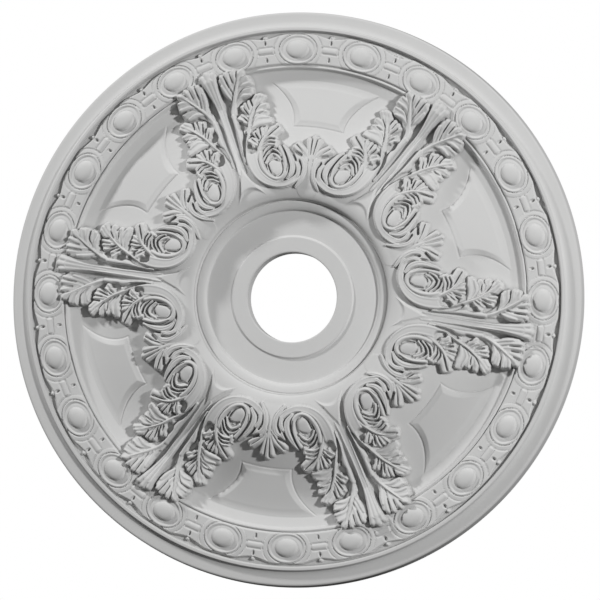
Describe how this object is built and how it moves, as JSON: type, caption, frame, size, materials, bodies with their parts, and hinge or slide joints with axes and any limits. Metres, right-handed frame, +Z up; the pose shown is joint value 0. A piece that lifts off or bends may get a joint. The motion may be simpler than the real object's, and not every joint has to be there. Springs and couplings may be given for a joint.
{
  "type": "ceiling rose",
  "caption": "Round cast ceiling rose: bead-and-reel border, raised panels and acanthus scroll clusters round a dished centre with a fixture hole.",
  "frame": {"origin": "centre of the flat back face, which lies on the ceiling", "axes": "+Z up through the ceiling, -Z down out of the ornament; one leaf cluster's centre line along +X"},
  "size_m": [0.7199, 0.72, 0.0511],
  "materials": {
    "primed_urethane": "smooth matte white factory primer on moulded foam"
  },
  "bodies": {
    "root": {"ceiling_rose": "primed_urethane"}
  },
  "joints": []
}
